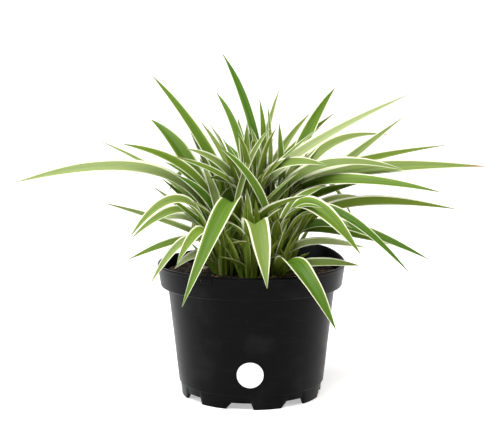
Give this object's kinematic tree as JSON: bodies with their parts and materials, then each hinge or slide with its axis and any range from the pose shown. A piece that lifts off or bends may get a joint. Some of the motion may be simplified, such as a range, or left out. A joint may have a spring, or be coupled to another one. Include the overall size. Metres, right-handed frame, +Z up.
{
  "type": "potted spider plant",
  "caption": "Spider plant with arching, pale-edged strap leaves in a bushy clump, in potting mix in a round black plastic nursery pot with a deep rim band, drain notches and a blank label.",
  "frame": {"origin": "centre of the pot's foot, on the surface that the pot stands on", "axes": "+Z up; -Y is the front, where the round label is; +X is to the right as seen from the front"},
  "size_m": [0.3794, 0.2298, 0.2782],
  "materials": {
    "pot_plastic": "satin",
    "potting_mix": "matte",
    "label_paper": "satin",
    "leaf": "satin"
  },
  "bodies": {
    "root": {"pot": "pot_plastic", "potting_mix": "potting_mix", "round_label": "label_paper", "crown_left_front": "leaf", "crown_front": "leaf", "crown_right_front": "leaf", "crown_left_back": "leaf", "crown_right_back": "leaf", "crown_middle": "leaf", "crown_back": "leaf"}
  },
  "joints": []
}
